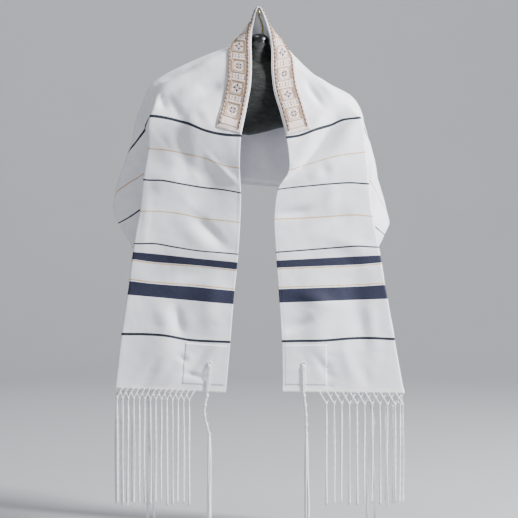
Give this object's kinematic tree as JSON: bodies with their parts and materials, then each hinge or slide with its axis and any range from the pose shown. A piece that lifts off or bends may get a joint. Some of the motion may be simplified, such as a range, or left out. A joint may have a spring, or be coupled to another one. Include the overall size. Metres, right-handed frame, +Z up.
{
  "type": "tallit prayer shawl on shoulder form hanger",
  "caption": "White prayer shawl with navy and gold stripes, neckband, knotted fringe and corner tassels, draped over a dark padded shoulder form with a brass hook.",
  "frame": {"origin": "crown of the brass hook, just under the peak of the neck edge", "axes": "+X to the right seen from the front, +Y from the front towards the back, +Z up"},
  "size_m": [0.7437, 0.2108, 1.3296],
  "materials": {
    "white_cloth": "satin",
    "neckband_cloth": "embroidered",
    "white_thread": "matte",
    "form_cover": "crushed pile",
    "cap_plastic": "satin",
    "brass": "polished"
  },
  "bodies": {
    "root": {"shawl_left_fall": "white_cloth", "shawl_back": "white_cloth", "shawl_right_fall": "white_cloth", "neckband": "neckband_cloth", "corner_square_1": "white_cloth", "corner_square_2": "white_cloth", "corner_square_3": "white_cloth", "corner_square_4": "white_cloth", "fringed_hem_left": "white_thread", "fringed_hem_right": "white_thread", "tzitzit_front_left": "white_thread", "tzitzit_front_right": "white_thread", "tzitzit_back_left": "white_thread", "tzitzit_back_right": "white_thread", "shoulder_form": "form_cover", "neck_cap": "cap_plastic", "hanger_hook": "brass"}
  },
  "joints": []
}
